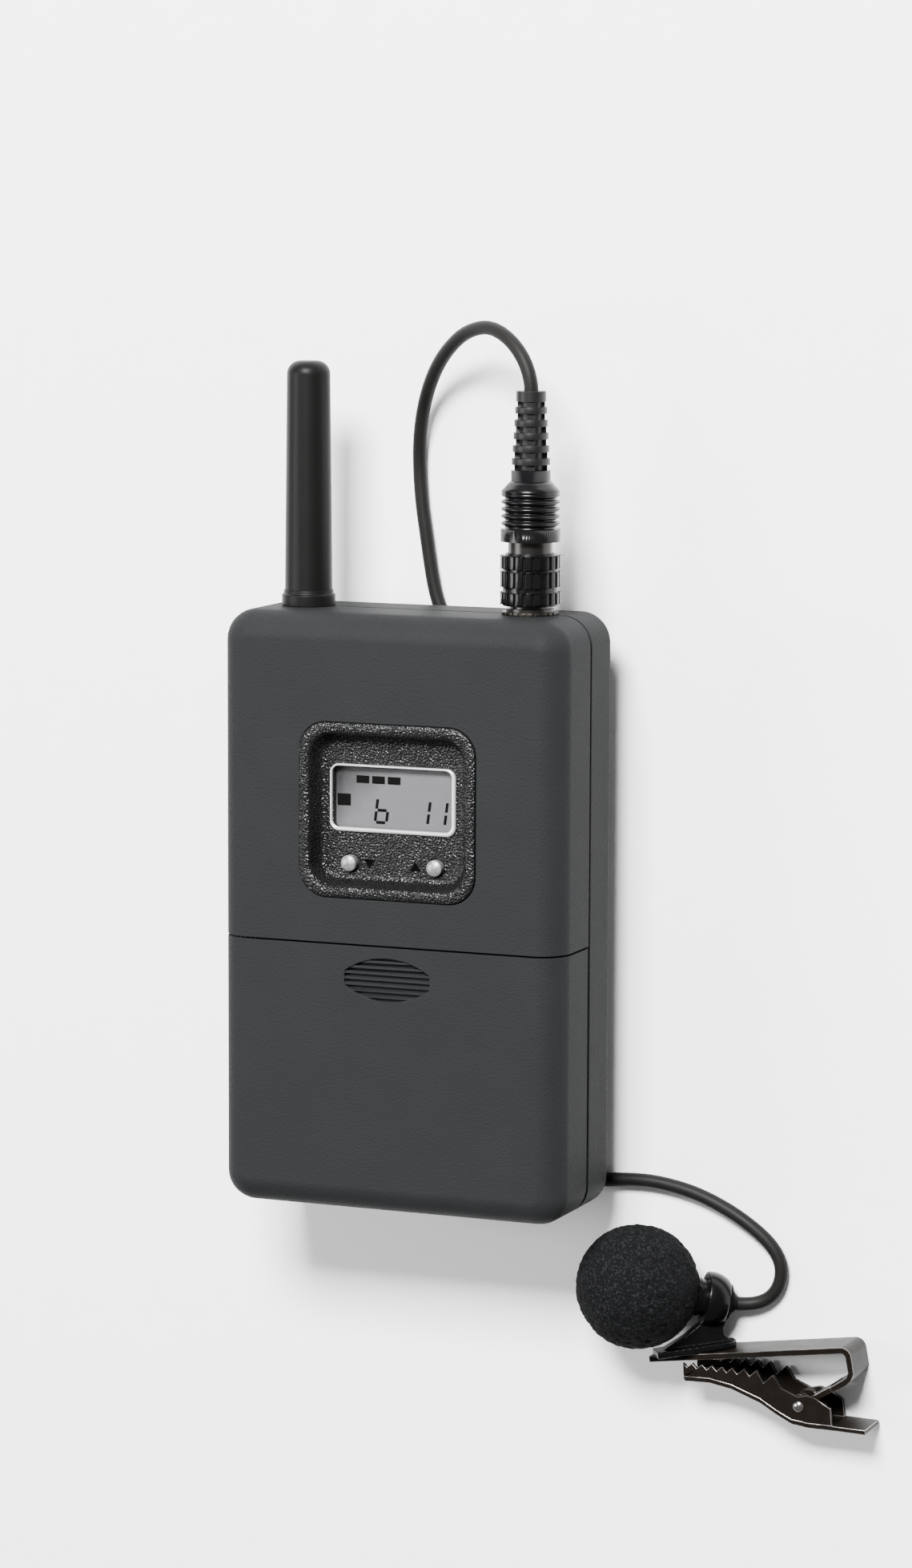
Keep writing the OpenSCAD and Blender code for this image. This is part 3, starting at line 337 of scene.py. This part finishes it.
def refine(node, material, bevel=0.1, edge_highlight=None, angle=38, turned=False):
    """A copy of a CAD node with its sharp edges broken, so that they catch the light.
    Edges past the angle are bevelled, in the edge material where one is given, a paler metal painted on as a
    highlight.
    A turned piece keeps every facet of its round faces."""
    bm = bmesh.new()
    bm.from_mesh(frame["nodes"][node].data)
    bmesh.ops.remove_doubles(bm, verts=bm.verts, dist=1e-6)
    if not turned:
        bmesh.ops.dissolve_limit(bm, angle_limit=math.radians(0.5), verts=bm.verts, edges=bm.edges)
    for face in bm.faces:
        face.material_index = 0
    if bevel:
        limit = math.radians(angle)
        sharp = [e for e in bm.edges if len(e.link_faces) == 2 and e.calc_face_angle(0) > limit]
        bmesh.ops.bevel(bm, geom=sharp, offset=bevel * MM, offset_type="OFFSET", segments=2, profile=0.6,
                        affect="EDGES", clamp_overlap=False, material=1 if edge_highlight else -1)
    piece = new_piece(node + "_looks", bm, [material, edge_highlight] if edge_highlight else material, body_of(node),
                      SMOOTH_ANGLE)
    if not turned:
        weigh = piece.modifiers.new("flat_faces", "WEIGHTED_NORMAL")
        weigh.keep_sharp = True
    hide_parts(node)
    return piece


def finish_node(node, material):
    """Gives a CAD node that keeps its own mesh its material."""
    mesh = frame["nodes"][node].data
    mesh.materials.clear()
    mesh.materials.append(material)
    mesh.shade_smooth()
    mesh.set_sharp_from_angle(angle=math.radians(SMOOTH_ANGLE))


def round_ring(bm, width, length, radius, z, y, steps=8):
    """A ring of points round a rectangle with round corners, in mm."""
    ring = []
    for quarter, (sx, sy) in enumerate(((1, 1), (-1, 1), (-1, -1), (1, -1))):
        for i in range(steps + 1):
            a = math.radians(90 * (quarter + i / steps))
            x = sx * (width / 2 - radius) + radius * math.cos(a)
            v = sy * (length / 2 - radius) + radius * math.sin(a) + y
            ring.append(bm.verts.new(Vector((x, v, z)) * MM))
    return ring


def circle_ring(bm, x, y, z, radius):
    """A ring of points round a circle, in mm."""
    steps = 32
    turns = [math.tau * i / steps for i in range(steps)]
    return [bm.verts.new(Vector((x + radius * math.cos(a), y + radius * math.sin(a), z)) * MM) for a in turns]


def bridge(bm, rings, closed=False):
    """Skins a row of rings that have the same number of points."""
    pairs = list(zip(rings, rings[1:]))
    if closed:
        pairs.append((rings[-1], rings[0]))
    for a, b in pairs:
        for i in range(len(a)):
            j = (i + 1) % len(a)
            bm.faces.new((a[i], a[j], b[j], b[i]))


def loop_edges(bm, ring):
    """The edges round a ring, made where they don't exist yet."""
    return [bm.edges.get((ring[i], ring[(i + 1) % len(ring)])) or
            bm.edges.new((ring[i], ring[(i + 1) % len(ring)])) for i in range(len(ring))]


def clip_matrix():
    """From the tie clip's own frame to the model's frame."""
    return Matrix.Translation(CLIP_AT * MM) @ Matrix.Rotation(math.radians(CLIP_TURN), 4, "Z")


def mic_matrix():
    """From the microphone's own axis, +X towards the foam, to the model's frame."""
    lift = Matrix.Translation(Vector((0, RING_V, 0)) * MM)
    swing = Matrix.Rotation(math.radians(MIC_SWING), 4, "Y")
    return clip_matrix() @ lift @ swing @ Matrix.Rotation(math.radians(180 - MIC_TIP), 4, "Z")


# ---------- cord ----------

def smooth_route(points):
    """Catmull-Rom curve through the route's points, resampled at about one step."""
    points = [Vector(p) for p in points]
    padded = [2 * points[0] - points[1], *points, 2 * points[-1] - points[-2]]
    out = []
    for i in range(1, len(padded) - 2):
        a, b, c, d = padded[i - 1:i + 3]
        count = max(2, round((c - b).length / CORD_STEP))
        for k in range(count):
            t = k / count
            out.append(0.5 * (2 * b + (c - a) * t + (2 * a - 5 * b + 4 * c - d) * t * t
                              + (3 * b - a - 3 * c + d) * t ** 3))
    out.append(points[-1])
    return out


def ease(t):
    """Runs from 0 to 1 with a level start and end."""
    t = min(1, max(0, t))
    return t * t * (3 - 2 * t)


def hank_run(side, radius, next_radius, z, start=0.0, end=1.0):
    """One straight run of the hank: side 1 is the run nearer the antenna, which heads to -X.
    The cord steps over to next_radius in the middle of the run."""
    out = []
    count = round(HANK_RUN * (end - start) / CORD_STEP)
    for i in range(count):
        t = start + (end - start) * i / count
        r = radius + (next_radius - radius) * ease((t - 0.2) / 0.55)
        out.append(Vector((HANK_X + side * HANK_RUN * (0.5 - t), HANK_Y + side * r, z)))
    return out


def hank_turn(side, radius, z0, z1):
    """One half turn at the end of the hank: side -1 is the left end."""
    out = []
    count = max(12, round(math.pi * radius / CORD_STEP))
    for i in range(count):
        t = i / count
        a = math.radians(90 + 180 * t if side < 0 else -90 + 180 * t)
        out.append(Vector((HANK_X + side * HANK_RUN / 2 + radius * math.cos(a),
                           HANK_Y + radius * math.sin(a), z0 + (z1 - z0) * ease(t))))
    return out


def hank_points():
    """The spare length: wound inwards in the lower layer, then outwards in the upper one."""
    low = HANK_BASE + CORD_D / 2
    high = low + CORD_D
    out = []
    inner = len(HANK_RADII) - 1
    start = (HANK_X + HANK_RUN / 2 - LOOP_ROUTE[-1][0]) / HANK_RUN
    for lap, radius in enumerate(HANK_RADII):
        if lap == 0:
            out += hank_run(1, radius, radius, low, start)
        out += hank_turn(-1, radius, low, low)
        out += hank_run(-1, radius, radius, low)
        out += hank_turn(1, radius, low, high if lap == inner else low)
        if lap < inner:
            out += hank_run(1, radius, HANK_RADII[lap + 1], low)
    outward = HANK_RADII[::-1]
    for lap, radius in enumerate(outward):
        out += hank_run(1, radius, radius, high)
        out += hank_turn(-1, radius, high, high)
        if lap < inner:
            out += hank_run(-1, radius, outward[lap + 1], high)
            out += hank_turn(1, outward[lap + 1], high, high)
        else:
            out += hank_run(-1, radius, radius, high, 0, 0.16)
    return out


def make_cord(looks):
    """One continuous cord: from the microphone, through the hank, to the plug's boot."""
    points = smooth_route(LOOP_ROUTE)[:-1] + hank_points() + smooth_route(TAIL_ROUTE)
    closest, rounds = 0.5, 2
    kept = [points[0]]
    for p in points[1:]:
        if (p - kept[-1]).length > closest:
            kept.append(p)
    for _ in range(rounds):
        kept = [kept[0], kept[1]] + [(kept[i - 1] + 2 * kept[i] + kept[i + 1]) / 4
                                     for i in range(2, len(kept) - 2)] + kept[-2:]
    kept = kept[::-1]
    data = bpy.data.curves.new("microphone_cord", "CURVE")
    data.dimensions = "3D"
    spline = data.splines.new("POLY")
    spline.points.add(len(kept) - 1)
    for point, place in zip(spline.points, kept):
        point.co = (*(place * MM), 1)
    data.bevel_depth, data.bevel_resolution = CORD_D / 2 * MM, 6
    data.use_fill_caps = True
    data.materials.append(looks["cord"])
    cord = bpy.data.objects.new("microphone_cord", data)
    bpy.context.scene.collection.objects.link(cord)
    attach(cord, "lavalier")
    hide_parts("cord_loop", "cord_hank", "cord_tail")
    return cord, kept


# ---------- display ----------

def make_bezel(looks):
    """Sanded surround: a rounded lip, a sloped wall and a floor with the window and button holes."""
    profile = [  # narrower by, height, corner radius
        (0.0, FRONT_Z - 0.8, 4.7), (0.0, FRONT_Z + 0.02, 4.7), (0.12, FRONT_Z + 0.24, 4.6),
        (0.4, FRONT_Z + 0.37, 4.5), (0.8, FRONT_Z + 0.4, 4.3), (1.25, FRONT_Z + 0.4, 4.05),
        (1.6, FRONT_Z + 0.34, 3.9), (1.85, FRONT_Z + 0.15, 3.75), (2.0, FRONT_Z - 0.2, 3.7),
        (2.25, FRONT_Z - 1.0, 3.5), (2.6, FRONT_Z - 1.9, 3.3), (2.85, BEZEL_FLOOR + 0.3, 3.1),
        (3.15, BEZEL_FLOOR + 0.06, 2.9), (3.5, BEZEL_FLOOR, 2.6),
    ]
    bm = bmesh.new()
    rings = [round_ring(bm, BEZEL_W - 2 * d, BEZEL_L - 2 * d, r, z, BEZEL_Y) for d, z, r in profile]
    bridge(bm, rings)
    window = [round_ring(bm, WINDOW_W - 1, WINDOW_L - 1, 1, z, WINDOW_Y) for z in (BEZEL_FLOOR, BEZEL_BASE)]
    bridge(bm, window)
    borders = loop_edges(bm, rings[-1]) + loop_edges(bm, window[0])
    for side in (-1, 1):
        well = [circle_ring(bm, side * BUTTON_X, BUTTON_Y, z, BUTTON_R + r)
                for z, r in ((BEZEL_FLOOR, 0.28), (BEZEL_FLOOR - 0.12, 0.15), (BEZEL_BASE, 0.15))]
        bridge(bm, well)
        borders += loop_edges(bm, well[0])
    bmesh.ops.triangle_fill(bm, use_beauty=True, edges=borders)
    under = round_ring(bm, BEZEL_W + 2, BEZEL_L + 2, BEZEL_R, FRONT_Z - 1.85, BEZEL_Y)
    base = round_ring(bm, BEZEL_W + 2, BEZEL_L + 2, BEZEL_R, BEZEL_BASE, BEZEL_Y)
    step = round_ring(bm, BEZEL_W, BEZEL_L, BEZEL_R, FRONT_Z - 1.85, BEZEL_Y)
    bridge(bm, [rings[0], step, under, base])
    back = loop_edges(bm, base) + loop_edges(bm, window[1])
    bmesh.ops.triangle_fill(bm, use_beauty=True, edges=back)
    piece = new_piece("display_surround", bm, looks["bezel"], "pack", 35)
    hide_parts("display_bezel")


def make_rim(looks):
    """Silver bead round the window, leaning so that it is broader at the lower right."""
    lean = Vector((-0.3, 0.3, 0))
    profile = [(0.0, 0.0), (0.0, 0.22), (0.08, 0.38), (0.24, 0.44), (0.4, 0.40), (0.5, 0.28), (0.52, 0.0)]
    bm = bmesh.new()
    rings = []
    for d, z in profile:
        radius = 1.55 - d * 0.7
        ring = round_ring(bm, WINDOW_W - 2 * d, WINDOW_L - 2 * d, radius, BEZEL_FLOOR + z, WINDOW_Y, 10)
        for v in ring:
            v.co += lean * d * MM
        rings.append(ring)
    bridge(bm, rings, closed=True)
    piece = new_piece("window_rim", bm, looks["rim"], "pack", 60)
    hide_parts("display_frame")


def segment(bm, x, y, width, length, lean=0.0):
    """One dark mark on the display: a bar that may lean to the right."""
    bottom, thick = PANEL_TOP + 0.01, 0.1
    corners = []
    for sx, sy in ((-1, -1), (1, -1), (1, 1), (-1, 1)):
        corners.append((x + sx * width / 2 + lean * sy * length / 2, y + sy * length / 2))
    low = [bm.verts.new(Vector((px, py, bottom)) * MM) for px, py in corners]
    high = [bm.verts.new(Vector((px, py, bottom + thick)) * MM) for px, py in corners]
    bridge(bm, [low, high])
    bm.faces.new(high)
    bm.faces.new(low[::-1])


def digit(bm, x, y, bars):
    """A leaning seven-segment digit round its middle; bars names the lit segments a to g."""
    half_w, half_h, line, gap, lean = 1.0, 1.0, 0.44, 0.24, 0.13
    flat = {"a": 2 * half_h, "g": 0.0, "d": -2 * half_h}
    tall = {"f": (-1, 1), "b": (1, 1), "e": (-1, -1), "c": (1, -1)}
    for bar in bars:
        if bar in flat:
            segment(bm, x + lean * flat[bar], y + flat[bar], 2 * half_w - 2 * gap, line, 0)
        else:
            sx, sy = tall[bar]
            middle = x + sx * half_w + lean * sy * half_h
            segment(bm, middle, y + sy * half_h, line, 2 * half_h - 2 * gap, lean)


def make_display(looks):
    """Level bars, a battery block and channel digits, and the arrows beside the buttons."""
    bm = bmesh.new()
    for i in range(3):
        segment(bm, -5.8 + 2.75 * i, WINDOW_Y + 2.95, 2.2, 1.2)
    segment(bm, -9.1, WINDOW_Y - 0.5, 2.3, 1.9)
    digit(bm, -2.4, WINDOW_Y - 1.95, "fgedc")
    digit(bm, 4.8, WINDOW_Y - 1.95, "bc")
    digit(bm, 7.8, WINDOW_Y - 1.95, "bc")
    new_piece("display_marks", bm, looks["ink"], "pack")
    bm = bmesh.new()
    top = BEZEL_FLOOR + 0.06
    for x, way in ((-4.1, -1), (3.9, 1)):
        corners = [(x - 0.95, -0.75), (x + 0.95, -0.75), (x, 0.75)]
        low = [bm.verts.new(Vector((px, BUTTON_Y + way * py, BEZEL_FLOOR)) * MM) for px, py in corners]
        high = [bm.verts.new(Vector((px, BUTTON_Y + way * py, top)) * MM) for px, py in corners]
        bridge(bm, [low, high])
        bm.faces.new(high)
    new_piece("button_arrows", bm, looks["ink"], "pack")


# ---------- microphone ----------

def make_foam(looks):
    """Open-cell foam ball with the bore that the microphone fills."""
    bm = bmesh.new()
    bmesh.ops.create_icosphere(bm, subdivisions=6, radius=FOAM_R)
    mouth = -math.sqrt(FOAM_R ** 2 - (FOAM_BORE + 0.5) ** 2)
    every = bm.verts[:] + bm.edges[:] + bm.faces[:]
    bmesh.ops.bisect_plane(bm, geom=every, plane_co=(mouth, 0, 0), plane_no=(1, 0, 0), clear_inner=True)
    pit_depth, pore_depth, wave_depth, sink = 0.16, 0.6, 0.10, 0.12
    for v in bm.verts:
        if v.co.x < mouth + 1e-4:
            continue
        pit = noise.noise(v.co * 1.5)
        pore = max(0.0, noise.noise(v.co * 0.95 + Vector((7, 3, 1))) - 0.12)
        wave = noise.noise(v.co * 0.16) * wave_depth
        v.co += v.normal * (pit * pit_depth - pore * pore_depth + wave - sink)
    rim = [e for e in bm.edges if e.is_boundary]
    bore = ((mouth + 0.5, FOAM_BORE + 0.05), (mouth + 1.5, FOAM_BORE), (FOAM_DEPTH - FOAM_OFF, FOAM_BORE))
    for x, radius in bore:
        made = bmesh.ops.extrude_edge_only(bm, edges=rim)["geom"]
        rim = [g for g in made if isinstance(g, bmesh.types.BMEdge)]
        for v in (g for g in made if isinstance(g, bmesh.types.BMVert)):
            out = Vector((0, v.co.y, v.co.z)).normalized()
            v.co = Vector((x, 0, 0)) + out * radius
    bmesh.ops.holes_fill(bm, edges=rim)
    bmesh.ops.translate(bm, verts=bm.verts, vec=(FOAM_OFF, 0, 0))
    bmesh.ops.scale(bm, verts=bm.verts, vec=(MM, MM, MM))
    bmesh.ops.transform(bm, matrix=mic_matrix(), verts=bm.verts)
    ball = new_piece("foam_windscreen", bm, looks["foam"], "foam", 180)
    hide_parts("windscreen")
    return ball


def soften(piece, voxel, rounds):
    """Melts a piece's hard edges, as a small moulding's are."""
    remesh = piece.modifiers.new("melt", "REMESH")
    remesh.mode, remesh.voxel_size = "VOXEL", voxel * MM
    smooth = piece.modifiers.new("ease", "SMOOTH")
    smooth.iterations, smooth.factor = rounds, 0.5
    bpy.context.view_layer.objects.active = piece
    for name in ("melt", "ease"):
        with bpy.context.temp_override(object=piece):
            bpy.ops.object.modifier_apply(modifier=name)
    piece.data.shade_smooth()


def make_holder(looks):
    """The microphone's holder, with all its edges melted."""
    piece = refine("mic_holder", looks["holder"], bevel=0)
    piece.modifiers.clear()
    soften(piece, 0.14, 6)


def make_tie(looks):
    """Strap round the left end of the hank's runs."""
    x0 = HANK_X - HANK_RUN / 2
    half = HANK_RADII[0] + CORD_D / 2 + 0.05
    height = 2 * CORD_D
    middle = HANK_BASE + height / 2
    bm = bmesh.new()

    def outline(x, width, depth, radius):
        ring = []
        for quarter, (sy, sz) in enumerate(((1, 1), (-1, 1), (-1, -1), (1, -1))):
            for i in range(7):
                a = math.radians(90 * (quarter + i / 6))
                y = HANK_Y + sy * (width / 2 - radius) + radius * math.cos(a)
                z = middle + sz * (depth / 2 - radius) + radius * math.sin(a)
                ring.append(bm.verts.new(Vector((x, y, z)) * MM))
        return ring

    cut = 0.1
    section = [(cut, 0.0), (TIE_W - cut, 0.0), (TIE_W, cut), (TIE_W, TIE_T - cut), (TIE_W - cut, TIE_T),
               (cut, TIE_T), (0.0, TIE_T - cut), (0.0, cut)]
    tall = height + 0.1
    skins = [outline(x0 + along, 2 * (half + out), tall + 2 * out, 0.6 + out) for along, out in section]
    bridge(bm, skins, closed=True)
    piece = new_piece("hank_strap", bm, looks["boot"], "lavalier", 40)
    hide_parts("hank_tie")
    return piece


# ---------- everything ----------

make_camera()
make_stage()
looks = make_materials()
cord, cord_line = make_cord(looks)

for name in ("front_case", "battery_door", "rear_case"):
    refine(name, looks["case"], bevel=0.12)
make_bezel(looks)
make_rim(looks)
make_display(looks)
for name in ("channel_up_button", "channel_down_button"):
    refine(name, looks["button"], bevel=0.12)
refine("power_knob", looks["case"], bevel=0.08)
refine("antenna_sleeve", looks["antenna"], bevel=0)
refine("antenna_collar", looks["antenna"], bevel=0.18)
refine("mic_jack_nut", looks["nut"], bevel=0.04)
boot = refine("strain_boot", looks["boot"], bevel=0.05)
back_shell = refine("plug_back_shell", looks["plug"], bevel=0, turned=True)
sleeve = refine("lock_sleeve", looks["plug"], bevel=0.08)
refine("mic_relief", looks["boot"], bevel=0.12)
refine("mic_housing", looks["holder"], bevel=0.1)
make_holder(looks)
foam = make_foam(looks)
# The clip's bevelled edges get the paler metal of the painted highlight.
refine("clip_arm", looks["clip"], bevel=0.13, edge_highlight=looks["edge_highlight"], angle=50)
refine("clip_jaw", looks["clip"], bevel=0.09, edge_highlight=looks["edge_highlight"], angle=50)
refine("clip_pin", looks["steel"], bevel=0.08)
refine("belt_clip", looks["belt"], bevel=0.15)
tie = make_tie(looks)

KEPT = {
    "display_window": "pane", "display_panel": "display", "display_holder": "insulator",
    "circuit_board": "board", "tact_switches": "chip", "shield_can": "tin", "board_chips": "chip",
    "power_switch": "chip", "battery_tray": "inside", "battery_cells": "cell", "cell_springs": "steel",
    "cell_contacts": "tin", "antenna_coil": "copper", "antenna_stud": "brass", "antenna_nut": "brass",
    "mic_jack_shell": "nose", "mic_jack_insert": "insulator", "belt_clip_screws": "screw",
    "case_screws": "screw", "board_screws": "screw", "plug_nose": "nose", "plug_insert": "insulator",
    "plug_pins": "gold", "mic_capsule": "mesh", "mic_grille": "mesh", "swivel_rivet": "steel",
    "clip_spring": "steel",
}
for name, look in KEPT.items():
    finish_node(name, looks[look])
